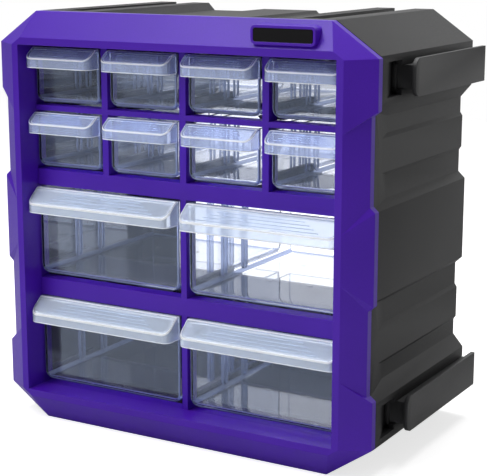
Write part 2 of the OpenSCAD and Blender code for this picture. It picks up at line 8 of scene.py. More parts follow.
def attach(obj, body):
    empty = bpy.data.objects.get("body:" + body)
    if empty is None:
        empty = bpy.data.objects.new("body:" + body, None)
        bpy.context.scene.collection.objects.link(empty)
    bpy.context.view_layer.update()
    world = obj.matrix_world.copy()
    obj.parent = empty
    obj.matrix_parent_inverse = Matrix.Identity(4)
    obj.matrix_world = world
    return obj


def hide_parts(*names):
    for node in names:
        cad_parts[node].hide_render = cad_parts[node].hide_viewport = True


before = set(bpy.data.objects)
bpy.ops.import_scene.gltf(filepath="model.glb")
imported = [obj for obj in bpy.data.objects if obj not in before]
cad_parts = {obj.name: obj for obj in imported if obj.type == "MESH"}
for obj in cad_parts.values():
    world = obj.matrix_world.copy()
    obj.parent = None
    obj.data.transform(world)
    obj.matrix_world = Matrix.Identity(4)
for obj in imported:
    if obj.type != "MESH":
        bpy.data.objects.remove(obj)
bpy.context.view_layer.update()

# Camera: three-quarter view from the right, a little above the cabinet, with the
# long lens of a product photograph.
EYE = Vector((0.4547, -0.7682, 0.3131))
AIM = Vector((0.05285, -0.0765, 0.14002))
LENS_MM, SENSOR_MM = 103.4, 36

camera = bpy.data.objects.new("camera", bpy.data.cameras.new("camera"))
bpy.context.scene.collection.objects.link(camera)
camera.location = EYE
camera.rotation_euler = (AIM - EYE).to_track_quat("-Z", "Y").to_euler()
camera.data.lens = LENS_MM
camera.data.sensor_width = SENSOR_MM
camera.data.clip_start = 0.01
bpy.context.scene.camera = camera
bpy.context.scene.view_settings.view_transform = "Standard"


# Studio: a pale floor and a white surround. The camera and the clear pieces see white,
# gloss sees a white backdrop behind the cabinet, and soft light of a plain level fills in.
def linear(srgb):
    """Linear colour of an sRGB hex value, as the shader sockets take it."""
    parts = [int(srgb[i : i + 2], 16) / 255 for i in (1, 3, 5)]
    return [c / 12.92 if c <= 0.04045 else ((c + 0.055) / 1.055) ** 2.4
            for c in parts] + [1.0]


def add(tree, kind, inputs=(), **settings):
    """Adds a node to a tree; inputs are values or output sockets by input name or place."""
    node = tree.nodes.new(kind)
    for key, value in settings.items():
        setattr(node, key, value)
    for key, value in dict(inputs).items():
        socket = node.inputs[key]
        if isinstance(value, bpy.types.NodeSocket):
            tree.links.new(value, socket)
        else:
            socket.default_value = value
    return node


def new_material(name):
    """An empty material, its node tree and its output's surface socket."""
    material = bpy.data.materials.new(name)
    material.use_nodes = True
    tree = material.node_tree
    tree.nodes.clear()
    return material, tree, add(tree, "ShaderNodeOutputMaterial").inputs["Surface"]


world = bpy.data.worlds.new("studio")
bpy.context.scene.world = world
world.use_nodes = True
sky = world.node_tree
sky.nodes.clear()
FILL_LEVEL, WHITE_LEVEL = 0.25, 1.0
BACKDROP_EDGE, BACKDROP_FULL = 0.1, 0.8
rays = add(sky, "ShaderNodeLightPath")
direct = add(sky, "ShaderNodeMath", {0: rays.outputs["Is Camera Ray"],
                                     1: rays.outputs["Is Transmission Ray"]},
             operation="MAXIMUM")
heading = add(sky, "ShaderNodeSeparateXYZ",
              {0: add(sky, "ShaderNodeTexCoord").outputs["Generated"]})
behind = add(sky, "ShaderNodeMapRange", {"Value": heading.outputs["Y"],
                                         "From Min": BACKDROP_EDGE,
                                         "From Max": BACKDROP_FULL})
backdrop = add(sky, "ShaderNodeMath", {0: rays.outputs["Is Glossy Ray"],
                                       1: behind.outputs[0]}, operation="MULTIPLY")
seen = add(sky, "ShaderNodeMath", {0: direct.outputs[0], 1: backdrop.outputs[0]},
           operation="MAXIMUM")
fill = add(sky, "ShaderNodeBackground", {"Color": linear("#ffffff"),
                                         "Strength": FILL_LEVEL})
white = add(sky, "ShaderNodeBackground", {"Color": linear("#ffffff"),
                                          "Strength": WHITE_LEVEL})
both = add(sky, "ShaderNodeMixShader", {0: seen.outputs[0], 1: fill.outputs[0],
                                        2: white.outputs[0]})
add(sky, "ShaderNodeOutputWorld", {0: both.outputs[0]})

# The floor is matt white paint. Its glow brings it up to the white of the surround for the
# camera and the clear pieces, and still leaves the cabinet's shadow.
FLOOR_HALF, FLOOR_GLOW = 1.5, 0.72
floor_mesh = bpy.data.meshes.new("floor")
floor_mesh.from_pydata([(x * FLOOR_HALF, y * FLOOR_HALF, 0)
                        for x, y in ((-1, -1), (1, -1), (1, 1), (-1, 1))],
                       [], [(0, 1, 2, 3)])
floor = bpy.data.objects.new("floor", floor_mesh)
bpy.context.scene.collection.objects.link(floor)
floor_paint, tree, surface = new_material("floor_matt_white_paint")
paint = add(tree, "ShaderNodeBsdfDiffuse", {"Color": linear("#dcdcdc")})
rays = add(tree, "ShaderNodeLightPath")
level = add(tree, "ShaderNodeMath", {0: rays.outputs["Is Camera Ray"], 1: FLOOR_GLOW,
                                     2: rays.outputs["Is Transmission Ray"]},
            operation="MULTIPLY_ADD")
glow = add(tree, "ShaderNodeEmission", {"Color": linear("#ffffff"),
                                        "Strength": level.outputs[0]})
mixed = add(tree, "ShaderNodeAddShader", {0: paint.outputs[0], 1: glow.outputs[0]})
tree.links.new(mixed.outputs[0], surface)
floor_mesh.materials.append(floor_paint)


def softbox(name, place, target, width, height, watts):
    """A rectangular studio lamp that points at the target."""
    lamp = bpy.data.lights.new(name, "AREA")
    lamp.shape = "RECTANGLE"
    lamp.size, lamp.size_y, lamp.energy = width, height, watts
    holder = bpy.data.objects.new(name, lamp)
    holder.location = place
    aim = Vector(target) - Vector(place)
    holder.rotation_euler = aim.to_track_quat("-Z", "Y").to_euler()
    bpy.context.scene.collection.objects.link(holder)


softbox("key_softbox", (-0.35, -0.62, 1.15), (0, -0.05, 0.13), 0.6, 0.6, watts=8)
softbox("top_softbox", (0.0, 0.2, 1.4), (0, 0, 0.2), 1.0, 0.7, watts=12)
softbox("front_fill", (-0.5, -1.5, 0.45), (0, -0.05, 0.13), 1.0, 1.0, watts=2)


# Case: a black sleeve with its back, moulded in one shot from polypropylene.
# The spark-eroded mould leaves a fine matt grain, and each edge has a small radius.
def solid_copy(node, name):
    """A merged copy of a CAD node's mesh as a new object, its triangles joined in pairs."""
    copy = bpy.data.objects.new(name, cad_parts[node].data.copy())
    bpy.context.scene.collection.objects.link(copy)
    copy.data.materials.clear()
    shape = bmesh.new()
    shape.from_mesh(copy.data)
    bmesh.ops.remove_doubles(shape, verts=shape.verts, dist=2e-6)
    bmesh.ops.join_triangles(shape, faces=shape.faces,
                             angle_face_threshold=math.radians(0.5),
                             angle_shape_threshold=math.pi)
    shape.to_mesh(copy.data)
    shape.free()
    return copy


def soften(piece, radius, segments=2, angle=30):
    """Rounds a piece's sharp edges for good, as a mould's own radius does."""
    bevel = piece.modifiers.new("edges", "BEVEL")
    bevel.width, bevel.segments = radius, segments
    bevel.limit_method, bevel.angle_limit = "ANGLE", math.radians(angle)
    bevel.harden_normals = True
    for face in piece.data.polygons:
        face.use_smooth = True
    graph = bpy.context.evaluated_depsgraph_get()
    finished = bpy.data.meshes.new_from_object(piece.evaluated_get(graph))
    piece.modifiers.clear()
    piece.data = finished
    return piece


WAVES_PER_M, WAVE_DEPTH, PIT_DEPTH = 18.0, 0.004, 0.0004


def moulded_plastic(name, colour, paler, roughness, grain_mm, depth, index=1.49):
    """Moulded plastic: spark-eroded pits over slow waves, in two near shades."""
    material, tree, surface = new_material(name)
    place = add(tree, "ShaderNodeTexCoord").outputs["Object"]
    fine = add(tree, "ShaderNodeTexNoise", {"Vector": place, "Scale": 1000 / grain_mm,
                                            "Detail": 2.0, "Roughness": 0.6})
    slow = add(tree, "ShaderNodeTexNoise", {"Vector": place, "Scale": WAVES_PER_M,
                                            "Detail": 1.0})
    waves = add(tree, "ShaderNodeBump", {"Height": slow.outputs[0], "Strength": 0.05,
                                         "Distance": WAVE_DEPTH})
    pits = add(tree, "ShaderNodeBump", {"Height": fine.outputs[0], "Strength": depth,
                                        "Distance": PIT_DEPTH, "Normal": waves.outputs[0]})
    drift = add(tree, "ShaderNodeMath", {0: fine.outputs[0], 1: slow.outputs[0]},
                operation="MULTIPLY")
    shade = add(tree, "ShaderNodeMapRange", {"Value": drift.outputs[0], "From Min": 0.12,
                                             "From Max": 0.42})
    tint = add(tree, "ShaderNodeMix", {0: shade.outputs[0], 6: linear(colour),
                                       7: linear(paler)}, data_type="RGBA")
    gloss = add(tree, "ShaderNodeMapRange", {"Value": fine.outputs[0], "From Min": 0.3,
                                             "From Max": 0.7, "To Min": roughness - 0.05,
                                             "To Max": roughness + 0.06})
    shader = add(tree, "ShaderNodeBsdfPrincipled", {
        "Base Color": tint.outputs[2], "Roughness": gloss.outputs[0], "IOR": index,
        "Normal": pits.outputs[0]})
    tree.links.new(shader.outputs[0], surface)
    return material


def place_piece(piece, material, node, body):
    """Gives a finished piece its material and puts it in the CAD node's place."""
    piece.data.materials.clear()
    piece.data.materials.append(material)
    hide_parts(node)
    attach(piece, body)


# Matt black polypropylene, spark-eroded grain of about 0.6 mm: dark grey under light.
case_black = moulded_plastic("case_polypropylene_black_grained", "#161618", "#1f1f21",
                             roughness=0.56, grain_mm=0.6, depth=0.35, index=1.43)
CASE_EDGE = 0.0006
place_piece(soften(solid_copy("case_shell", "case"), CASE_EDGE), case_black,
            "case_shell", "cabinet")

# Hood: the purple frame that snaps over the case's front, moulded in polypropylene with
# a satin face. Sloping faces run from a flat rim to the widest line and pull in at waists.
FRONT_Y = -0.0765
MID_Z = 0.13335
RIM_HALF = (0.11575, 0.11715)
OPENING_HALF = (0.11125, 0.11265)
HOOD_HALF = (0.1325, 0.13335)
HOOD_CORNER = (0.029, 0.020)
RIM_CORNER = (0.006525, 0.0045)
BEVEL_DEPTH, HOOD_DEPTH, GRID_DEPTH = 0.010, 0.015, 0.017
HOOD_WALL, LINING_WALL = 0.0024, 0.002
WAIST, WAIST_IN, WAIST_OUT, WAIST_RAMP = 0.0039, 0.0272, 0.0842, 0.003
CREASE_RUN, CREASE_STEP, MIDDLE_INSET = 0.0126, 0.0002, 0.0006
HOOD_EDGE_RADIUS = 0.0009


def all_round(quarter):
    """Whole outline of the hood from its upper right quarter, in order round the front."""
    right = quarter + [(x, -z) for x, z in reversed(quarter)]
    return right + [(-x, z) for x, z in reversed(right)]


def rim_line():
    """Outer edge of the flat rim, with the points where the creases start."""
    x, z = RIM_HALF
    return all_round([(x - RIM_CORNER[0], z), (x, z - RIM_CORNER[1]),
                      (x, WAIST_OUT - CREASE_RUN),
                      (x, WAIST_OUT - CREASE_RUN - CREASE_STEP), (x, WAIST_IN - CREASE_RUN),
                      (x, WAIST_IN - CREASE_RUN - CREASE_STEP)])


def lip_line(inset):
    """Widest line of the hood, with its waists, or the same line further in."""
    x, z = HOOD_HALF[0] - inset, HOOD_HALF[1] - inset
    corner = math.atan2(HOOD_CORNER[1], HOOD_CORNER[0])
    across = inset - HOOD_CORNER[0] - inset * math.tan(corner / 2)
    down = inset - HOOD_CORNER[1] - inset * math.tan(math.pi / 4 - corner / 2)
    return all_round([(x + across, z), (x, z + down), (x, WAIST_OUT),
                      (x - WAIST, WAIST_OUT - WAIST_RAMP), (x - WAIST, WAIST_IN + WAIST_RAMP),
                      (x - MIDDLE_INSET, WAIST_IN)])


def opening_line(grow):
    """Edge of the opening inside the rim, or the same line further out."""
    x, z = OPENING_HALF[0] + grow, OPENING_HALF[1] + grow
    return all_round([(x, z)] + [(x, p[1]) for p in rim_line()[1:6]])


def ring(name, outlines, depths):
    """Closed ring whose skin runs from each outline to the next and back to the first."""
    shape = bmesh.new()
    loops = [[shape.verts.new((x, FRONT_Y + depth, MID_Z + z)) for x, z in outline]
             for outline, depth in zip(outlines, depths)]
    for here, there in zip(loops, loops[1:] + loops[:1]):
        for i in range(len(here)):
            j = (i + 1) % len(here)
            shape.faces.new((here[i], here[j], there[j], there[i]))
    bmesh.ops.remove_doubles(shape, verts=shape.verts, dist=3e-4)
    bmesh.ops.recalc_face_normals(shape, faces=shape.faces)
    mesh = bpy.data.meshes.new(name)
    shape.to_mesh(mesh)
    shape.free()
    piece = bpy.data.objects.new(name, mesh)
    bpy.context.scene.collection.objects.link(piece)
    return piece


slope_back = HOOD_WALL * math.hypot(1, BEVEL_DEPTH / (HOOD_HALF[0] - RIM_HALF[0]))
hood = ring("hood",
            [opening_line(0), rim_line(), lip_line(0), lip_line(0), lip_line(HOOD_WALL),
             lip_line(HOOD_WALL), rim_line(), opening_line(LINING_WALL),
             opening_line(LINING_WALL), opening_line(0)],
            [0, 0, BEVEL_DEPTH, HOOD_DEPTH, HOOD_DEPTH, BEVEL_DEPTH + slope_back, slope_back,
             slope_back, GRID_DEPTH, GRID_DEPTH])
# Satin purple polypropylene: deep violet, with a soft sheen along the edges.
hood_purple = moulded_plastic("hood_polypropylene_purple_satin", "#4613a6", "#501ab6",
                              roughness=0.36, grain_mm=0.5, depth=0.2, index=1.36)
place_piece(soften(hood, HOOD_EDGE_RADIUS, 3, 14), hood_purple, "front_hood", "cabinet")

# Seat of the name plate: a raised frame moulded on the hood's upper slope, with a bare
# plate of glossy black ABS pressed into it.
SEAT_X, SEAT_Z = 0.0781, 0.2582
PLATE_W, PLATE_H, PLATE_R = 0.038, 0.0076, 0.0012
SEAT_BORDER, SEAT_PROUD, PLATE_T = 0.00185, 0.001, 0.0012
# Growth beyond the plate's outline, and depth behind the rim's plane.
SEAT_PROFILE = ((0.0001, 0.0003), (0.0001, 0.0002 - SEAT_PROUD), (0.0004, -SEAT_PROUD),
                (SEAT_BORDER - 0.0006, -SEAT_PROUD),
                (SEAT_BORDER - 0.0002, 0.00018 - SEAT_PROUD),
                (SEAT_BORDER, 0.0006 - SEAT_PROUD), (SEAT_BORDER, 0.0088))
PLATE_PROFILE = ((0, PLATE_T - SEAT_PROUD), (0, 0.0003 - SEAT_PROUD),
                 (-0.00009, 0.00009 - SEAT_PROUD), (-0.0003, -SEAT_PROUD))
CORNER_STEPS = 5


def round_rectangle(width, height, radius):
    """Points of a rectangle with round corners, in order."""
    points = []
    for k, (sx, sz) in enumerate(((1, 1), (-1, 1), (-1, -1), (1, -1))):
        for i in range(CORNER_STEPS + 1):
            turn = (k + i / CORNER_STEPS) * math.pi / 2
            points.append((sx * (width / 2 - radius) + radius * math.cos(turn),
                           sz * (height / 2 - radius) + radius * math.sin(turn)))
    return points


def stack(shape, loops):
    """Skins a run of loops of 3-D points and closes its ends."""
    rings = [[shape.verts.new(p) for p in loop] for loop in loops]
    for here, there in zip(rings, rings[1:]):
        for i in range(len(here)):
            j = (i + 1) % len(here)
            shape.faces.new((here[i], here[j], there[j], there[i]))
    shape.faces.new(rings[0][::-1])
    shape.faces.new(rings[-1])


def level_faces(piece):
    """Weights a piece's normals by face area for good, so that flat walls shade flat."""
    weigh = piece.modifiers.new("normals", "WEIGHTED_NORMAL")
    weigh.weight, weigh.keep_sharp = 100, True
    graph = bpy.context.evaluated_depsgraph_get()
    finished = bpy.data.meshes.new_from_object(piece.evaluated_get(graph))
    piece.modifiers.clear()
    piece.data = finished
    return piece


def finish_mesh(shape, name, angle=30):
    """Turns a shape into an object with smooth rounds and crisp edges."""
    bmesh.ops.recalc_face_normals(shape, faces=shape.faces)
    for face in shape.faces:
        face.smooth = True
    mesh = bpy.data.meshes.new(name)
    shape.to_mesh(mesh)
    shape.free()
    mesh.set_sharp_from_angle(angle=math.radians(angle))
    piece = bpy.data.objects.new(name, mesh)
    bpy.context.scene.collection.objects.link(piece)
    return level_faces(piece)


def seat_loop(grow, depth):
    """Outline of the plate, grown, at a depth behind the rim's plane."""
    outline = round_rectangle(PLATE_W + 2 * grow, PLATE_H + 2 * grow, PLATE_R + grow)
    return [(SEAT_X + x, FRONT_Y + depth, SEAT_Z + z) for x, z in outline]


shape = bmesh.new()
stack(shape, [seat_loop(*step) for step in SEAT_PROFILE])
seat = finish_mesh(shape, "plate_seat", 40)
seat.data.materials.append(hood_purple)
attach(seat, "cabinet")

# Glossy black ABS, polished mould face: near black with a clear reflection.
plate_black = moulded_plastic("plate_abs_black_gloss", "#0a090c", "#100f12",
                              roughness=0.14, grain_mm=0.9, depth=0.04, index=1.22)
shape = bmesh.new()
stack(shape, [seat_loop(*step) for step in PLATE_PROFILE])
place_piece(finish_mesh(shape, "plate", 40), plate_black, "name_plate", "cabinet")

# Bay grid: bars and posts round the twelve bays, in the hood's polypropylene. It sits deep
# in the hood, where less light reaches it: its colour is a touch darker, as painted shade.
grid_purple_painted_shade = moulded_plastic("grid_polypropylene_purple_painted_shade", "#4413a4", "#4e19b2",
                              roughness=0.38, grain_mm=0.5, depth=0.2, index=1.36)
GRID_EDGE = 0.0009
place_piece(soften(solid_copy("bay_grid", "grid"), GRID_EDGE, 3), grid_purple_painted_shade, "bay_grid",
            "cabinet")

# Bin guides: low tapered tabs moulded under the bars over the large bins, at the back of
# the bars. They keep a bin level, and light shows between them.
BAR_UNDERSIDES = (0.1548, 0.0814)
GUIDE_SPANS = ((0.0135, 0.033), (0.068, 0.0905))
GUIDE_Y, GUIDE_DROP, GUIDE_TAPER, GUIDE_ROOT = (0.0225, 0.0268), 0.0009, 0.0015, 0.0004
BAY_STEP = 0.11455
for row, underside in enumerate(BAR_UNDERSIDES, 3):
    shape = bmesh.new()
    for shift in (0.0, -BAY_STEP):
        for start, end in GUIDE_SPANS:
            stack(shape, [[(x + shift, FRONT_Y + y, underside - drop) for x, drop in (
                (start, -GUIDE_ROOT), (end, -GUIDE_ROOT),
                (end - GUIDE_TAPER, GUIDE_DROP), (start + GUIDE_TAPER, GUIDE_DROP))]
                for y in GUIDE_Y])
    guides = finish_mesh(shape, f"bin_guides_row{row}")
    # The guides take the grid's purple with its painted shade.
    guides.data.materials.append(grid_purple_painted_shade)
    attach(guides, "cabinet")

# Runners: frames of flanges, blades and stop tabs, moulded in dark polypropylene and
# slid into the case from the front. Blades end at the cross bar, flanges just behind it.
runner_dark = moulded_plastic("runner_polypropylene_dark", "#1d1a3a", "#262249",
                              roughness=0.42, grain_mm=0.6, depth=0.25)
RUNNER_END_Y, RUNNER_EDGE = FRONT_Y + 0.078, 0.0003
for node in ("roof_stops", "runner_row1", "runner_row2", "runner_row3", "runner_row4"):
    runner = solid_copy(node, node + "_moulding")
    shape = bmesh.new()
    shape.from_mesh(runner.data)
    for corner in shape.verts:
        corner.co.y = min(corner.co.y, RUNNER_END_Y)
    bmesh.ops.remove_doubles(shape, verts=shape.verts, dist=1e-6)
    bmesh.ops.dissolve_degenerate(shape, dist=1e-6, edges=shape.edges)
    shape.to_mesh(runner.data)
    shape.free()
    place_piece(soften(runner, RUNNER_EDGE), runner_dark, node, "cabinet")

# Bins: clear trays with a hollow hooded grip across the front, one shot of clear
# polystyrene each. Walls are polished; the grip carries four ridges for the fingers.
GRID_Y, BIN_BACK_Y = FRONT_Y + GRID_DEPTH, FRONT_Y + 0.148
BIN_WALL, FOOT_RADIUS, FOOT_SHARE = 0.0018, 0.0055, 0.35
CORNER_RADIUS, INNER_CORNER, RIM_RADIUS = 0.0018, 0.0004, 0.0003
GRIP_FLAT, GRIP_LIP = 0.0025, 0.006
FOOT_STEPS, TURN_STEPS = 8, 6
# Material slots of a bin, in order; the last two are paler copies that paint highlights on
# edges.
CLEAR, HAZED, BRIGHT_PAINTED_HIGHLIGHT, PALE_PAINTED_HIGHLIGHT = range(4)
# front, drop, turn and edge: the grip's front line, fall, corner radius and edge radius;
# pitch, end and taper: the ridges' spacing, distance from the sides and shortening; slots:
# first place, spacing and stand of the ribs; marks: how many across, spacing and shift.
SMALL = dict(width=0.0495, height=0.0348, front=0.005, drop=0.0065, turn=0.005,
             pitch=0.002, end=0.007, taper=0.002, edge=0.0005,
             slots=(0.0594, 0.0115, 0.0012), marks=(2, 0.022, 0.0))
LARGE = dict(width=0.1074, height=0.0574, front=0.003, drop=0.0093, turn=0.005,
             pitch=0.0025, end=0.0123, taper=0.0039, edge=0.0008,
             slots=(0.0559, 0.0255, 0.002), marks=(3, 0.0287, 0.0047))


def tray_loop(width, front, back, corner, inset_x, inset_y, z):
    """Level outline of a tray between two depths, drawn in on its sides and ends."""
    outline = round_rectangle(width - 2 * inset_x, back - front - 2 * inset_y, corner)
    return [(x, (front + back) / 2 + y, z) for x, y in outline]


def tray(shape, width, height):
    """Tray of a bin: round foot, thin walls and a softly rounded rim."""
    skins = []
    for sink, corner, side in ((0.0, CORNER_RADIUS, 1), (BIN_WALL, INNER_CORNER, -1)):
        base = width - 2 * sink, GRID_Y + sink, BIN_BACK_Y - sink, corner
        loops = [tray_loop(*base, side * inset, side * inset, z)
                 for inset, z in ((RIM_RADIUS, height), (0.0, height - RIM_RADIUS))]
        radius = FOOT_RADIUS - sink
        for i in range(FOOT_STEPS + 1):
            turn = i / FOOT_STEPS * math.pi / 2
            inset = radius * (1 - math.cos(turn))
            loops.append(tray_loop(*base, inset, inset * FOOT_SHARE,
                                   sink + radius * (1 - math.sin(turn))))
        skins.append(loops)
    stack(shape, skins[0][::-1] + skins[1])


def grip_outline(width, front, turn):
    """Plan of a grip: from the back left corner round the front to the back right."""
    points = [(-width / 2, GRID_Y)]
    for i in range(TURN_STEPS + 1):
        a = math.pi + i / TURN_STEPS * math.pi / 2
        points.append((-width / 2 + turn + turn * math.cos(a),
                       front + turn + turn * math.sin(a)))
    return points + [(-x, y) for x, y in reversed(points)]


def grip_skin(shape, width, front, drop, turn, sink, z_low):
    """One skin of a grip: sides, slope and flat. Returns its foot and its upper outline."""
    knee = GRID_Y - GRIP_FLAT
    rise = drop / (knee - FRONT_Y - front)
    plan = grip_outline(width - 2 * sink, FRONT_Y + front + sink, turn - sink)
    knee -= sink * math.tan(math.atan(rise) / 2)
    plan[1:1] = [(plan[0][0], knee)]
    plan[-1:-1] = [(plan[-1][0], knee)]
    low = [shape.verts.new((x, y, z_low)) for x, y in plan]
    top = [shape.verts.new((x, y, min(0, (y - knee) * rise) - sink)) for x, y in plan]
    for i in range(len(plan) - 1):
        shape.faces.new((low[i], low[i + 1], top[i + 1], top[i]))
    shape.faces.new((top[0], top[1], top[-2], top[-1]))
    shape.faces.new(top[1:-1])
    return low, top


def grip(width, height, front, drop, turn, edge):
    """Hollow grip of a bin, with its rounded edges in the slot of the painted highlight."""
    shape = bmesh.new()
    foot = -drop - GRIP_LIP
    low, top = grip_skin(shape, width, front, drop, turn, 0.0, foot)
    low_in, top_in = grip_skin(shape, width, front, drop, turn, BIN_WALL, foot)
    for i in range(len(low) - 1):
        shape.faces.new((low[i], low[i + 1], low_in[i + 1], low_in[i]))
    shape.faces.new((low[0], low_in[0], top_in[0], top[0]))
    shape.faces.new((low[-1], top[-1], top_in[-1], low_in[-1]))
    shape.faces.new((top[0], top_in[0], top_in[-1], top[-1]))
    bmesh.ops.recalc_face_normals(shape, faces=shape.faces)
    for face in shape.faces:
        face.material_index = HAZED
    sharp = [e for e in shape.edges
             if e.calc_face_angle() > math.radians(20)
             and not all(abs(v.co.y - GRID_Y) < 1e-6 for v in e.verts)]
    # The bevelled edges take the near-white slot: a painted highlight.
    bmesh.ops.bevel(shape, geom=sharp, offset=edge, segments=3, profile=0.5,
                    affect="EDGES", clamp_overlap=True, material=BRIGHT_PAINTED_HIGHLIGHT)
    bmesh.ops.translate(shape, vec=(0, 0, height), verts=shape.verts)
    mesh = bpy.data.meshes.new("grip")
    shape.to_mesh(mesh)
    shape.free()
    return mesh


def named_inputs(tree, **kinds):
    """Adds named inputs to a geometry tree with its group nodes; returns their sockets."""
    for name, kind in kinds.items():
        tree.interface.new_socket(name=name, in_out="INPUT", socket_type="NodeSocket" + kind)
    tree.interface.new_socket(name="Geometry", in_out="OUTPUT",
                              socket_type="NodeSocketGeometry")
    return add(tree, "NodeGroupInput").outputs


def grown(name, tree, start, values):
    """Mesh that a geometry tree makes from a start mesh with the given named inputs."""
    carrier = bpy.data.objects.new(name, start)
    bpy.context.scene.collection.objects.link(carrier)
    modifier = carrier.modifiers.new(name, "NODES")
    modifier.node_group = tree
    for item in tree.interface.items_tree:
        if item.name in values:
            modifier[item.identifier] = values[item.name]
    graph = bpy.context.evaluated_depsgraph_get()
    mesh = bpy.data.meshes.new_from_object(carrier.evaluated_get(graph))
    bpy.data.objects.remove(carrier)
    return mesh


def close_tree(tree, geometry, material):
    """Ends a geometry tree in Realize Instances and Set Material."""
    real = add(tree, "GeometryNodeRealizeInstances", {"Geometry": geometry})
    dressed = add(tree, "GeometryNodeSetMaterial", {"Geometry": real.outputs[0],
                                                    "Material": material})
    add(tree, "NodeGroupOutput", {"Geometry": dressed.outputs[0]})


COLD_SHEEN, FLOW_PER_M, FLOW_DEPTH = "#c8dcff", 35.0, 0.001


def clear_plastic(name, colour, roughness, haze):
    """Clear moulded plastic: refracts and reflects, with a little haze of its own."""
    material, tree, surface = new_material(name)
    place = add(tree, "ShaderNodeTexCoord").outputs["Object"]
    flow = add(tree, "ShaderNodeTexNoise", {"Vector": place, "Scale": FLOW_PER_M,
                                            "Detail": 1.0})
    gloss = add(tree, "ShaderNodeMapRange", {"Value": flow.outputs[0], "From Min": 0.3,
                                             "From Max": 0.7, "To Min": roughness * 0.7,
                                             "To Max": roughness * 1.3})
    wave = add(tree, "ShaderNodeBump", {"Height": flow.outputs[0], "Strength": 0.02,
                                        "Distance": FLOW_DEPTH})
    shader = add(tree, "ShaderNodeBsdfPrincipled", {
        "Base Color": linear(colour), "Roughness": gloss.outputs[0], "IOR": 1.49,
        "Transmission Weight": 1.0 - haze, "Specular Tint": linear(COLD_SHEEN),
        "Normal": wave.outputs[0]})
    passing = add(tree, "ShaderNodeBsdfTransparent", {"Color": linear(colour)})
    rays = add(tree, "ShaderNodeLightPath")
    both = add(tree, "ShaderNodeMixShader", {0: rays.outputs["Is Shadow Ray"],
                                             1: shader.outputs[0], 2: passing.outputs[0]})
    tree.links.new(both.outputs[0], surface)
    return material


# Clear polystyrene with a cold tint; its polished walls show sharp, cold reflections.
tray_clear = clear_plastic("bin_polystyrene_clear", "#f8faff", roughness=0.02,
                           haze=0.01)
# A tray's rounded foot and corners and its ribs take a paler, hazier copy of the same clear
# plastic: a painted highlight for the light that thick rounded edges gather, seen as pale
# cold lines.
tray_edge_painted_highlight = clear_plastic("bin_edge_polystyrene_painted_highlight", "#bccaf0", roughness=0.12,
                          haze=0.34)
# The same plastic from a lightly blasted mould face: a pale haze over what is behind.
grip_hazed = clear_plastic("grip_polystyrene_hazed", "#dde7ff", roughness=0.06,
                           haze=0.27)
# The large bins' grips take a whiter, hazier copy of the same grip plastic: painted light,
# as they catch more light than the small grips under the hood's top.
grip_painted_light = clear_plastic("grip_polystyrene_painted_light", "#ecf4ff", roughness=0.10,
                           haze=0.33)
# Rounded edges of the grip, where light gathers, take a near-white copy of the plastic: a
# painted highlight that reads as pale lines.
grip_edge_painted_highlight = clear_plastic("grip_edge_polystyrene_painted_highlight", "#fcfdff", roughness=0.12,
                          haze=0.88)

# Ridges across the grip's slope: each next one is shorter, and their ends fade out.
ridge_tree = bpy.data.node_groups.new("grip_ridges", "GeometryNodeTree")
sizes = named_inputs(ridge_tree, Count="Int", First="Float", Pitch="Float", Length="Float",
                     Taper="Float", Radius="Float", Tilt="Float")
first = add(ridge_tree, "ShaderNodeCombineXYZ", {"Y": sizes["First"]})
step = add(ridge_tree, "ShaderNodeCombineXYZ", {"Y": sizes["Pitch"]})
spots = add(ridge_tree, "GeometryNodeMeshLine", {
    "Count": sizes["Count"], "Start Location": first.outputs[0], "Offset": step.outputs[0]})
index = add(ridge_tree, "GeometryNodeInputIndex")
cut = add(ridge_tree, "ShaderNodeMath", {0: index.outputs[0], 1: sizes["Taper"]},
          operation="MULTIPLY")
length = add(ridge_tree, "ShaderNodeMath", {0: sizes["Length"], 1: cut.outputs[0]},
             operation="SUBTRACT")
stretch = add(ridge_tree, "ShaderNodeCombineXYZ", {"X": length.outputs[0], "Y": 1.0,
                                                   "Z": 1.0})
stroke = add(ridge_tree, "GeometryNodeCurvePrimitiveLine", {"Start": (-0.5, 0, 0),
                                                            "End": (0.5, 0, 0)})
strokes = add(ridge_tree, "GeometryNodeInstanceOnPoints", {
    "Points": spots.outputs[0], "Instance": stroke.outputs[0], "Scale": stretch.outputs[0]})
lines = add(ridge_tree, "GeometryNodeRealizeInstances", {"Geometry": strokes.outputs[0]})
cuts = add(ridge_tree, "GeometryNodeResampleCurve", {"Curve": lines.outputs[0],
                                                     "Count": 25})
along = add(ridge_tree, "GeometryNodeSplineParameter")
from_end = add(ridge_tree, "ShaderNodeMath", {0: along.outputs["Factor"], 1: 0.5},
               operation="SUBTRACT")
apart = add(ridge_tree, "ShaderNodeMath", {0: from_end.outputs[0]}, operation="ABSOLUTE")
fade = add(ridge_tree, "ShaderNodeMapRange", {"Value": apart.outputs[0], "From Min": 0.46,
                                              "From Max": 0.5, "To Min": 1.0, "To Max": 0.35})
girth = add(ridge_tree, "GeometryNodeSetCurveRadius", {"Curve": cuts.outputs[0],
                                                       "Radius": fade.outputs[0]})
outline = add(ridge_tree, "GeometryNodeCurvePrimitiveCircle", {"Resolution": 8,
                                                               "Radius": sizes["Radius"]})
bars = add(ridge_tree, "GeometryNodeCurveToMesh", {
    "Curve": girth.outputs[0], "Profile Curve": outline.outputs[0], "Fill Caps": True})
lean = add(ridge_tree, "ShaderNodeCombineXYZ", {"X": sizes["Tilt"]})
tilted = add(ridge_tree, "GeometryNodeTransform", {"Geometry": bars.outputs[0],
                                                   "Rotation": lean.outputs[0]})
close_tree(ridge_tree, tilted.outputs[0], grip_hazed)

